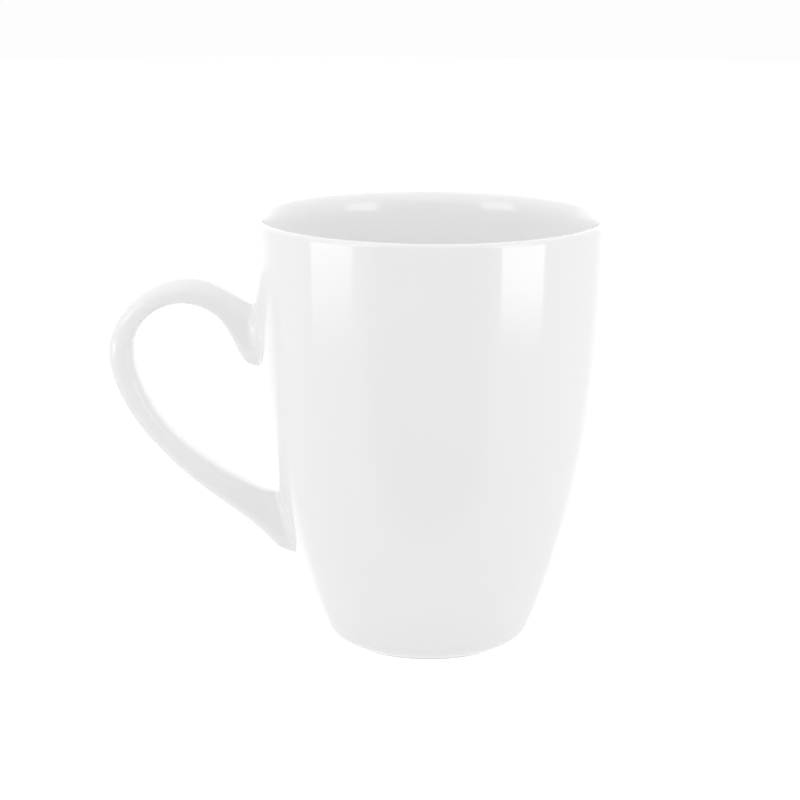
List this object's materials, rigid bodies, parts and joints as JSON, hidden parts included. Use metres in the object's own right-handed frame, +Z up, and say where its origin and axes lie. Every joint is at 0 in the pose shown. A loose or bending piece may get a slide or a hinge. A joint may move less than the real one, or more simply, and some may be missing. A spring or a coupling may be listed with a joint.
{
  "type": "ceramic mug",
  "caption": "Tapered white ceramic mug with a rounded base, a rounded lip and a ribbon-like strap handle, glazed all over except for its foot ring.",
  "frame": {"origin": "centre of the foot ring's contact face, on the table", "axes": "+Z up along the cup's axis, handle towards -X, +Y across the mirror plane"},
  "size_m": [0.1184, 0.084, 0.103],
  "materials": {
    "fired_clay": "dry, fine matt, unglazed",
    "fired_slip": "dry, matt",
    "white_glaze": "glossy white glaze"
  },
  "bodies": {
    "root": {"clay_body": "fired_clay", "clay_handle": "fired_clay", "upper_slip_joint": "fired_slip", "lower_slip_joint": "fired_slip", "outer_glaze": "white_glaze", "inner_glaze": "white_glaze", "handle_glaze": "white_glaze", "foot_well_glaze": "white_glaze"}
  },
  "joints": []
}
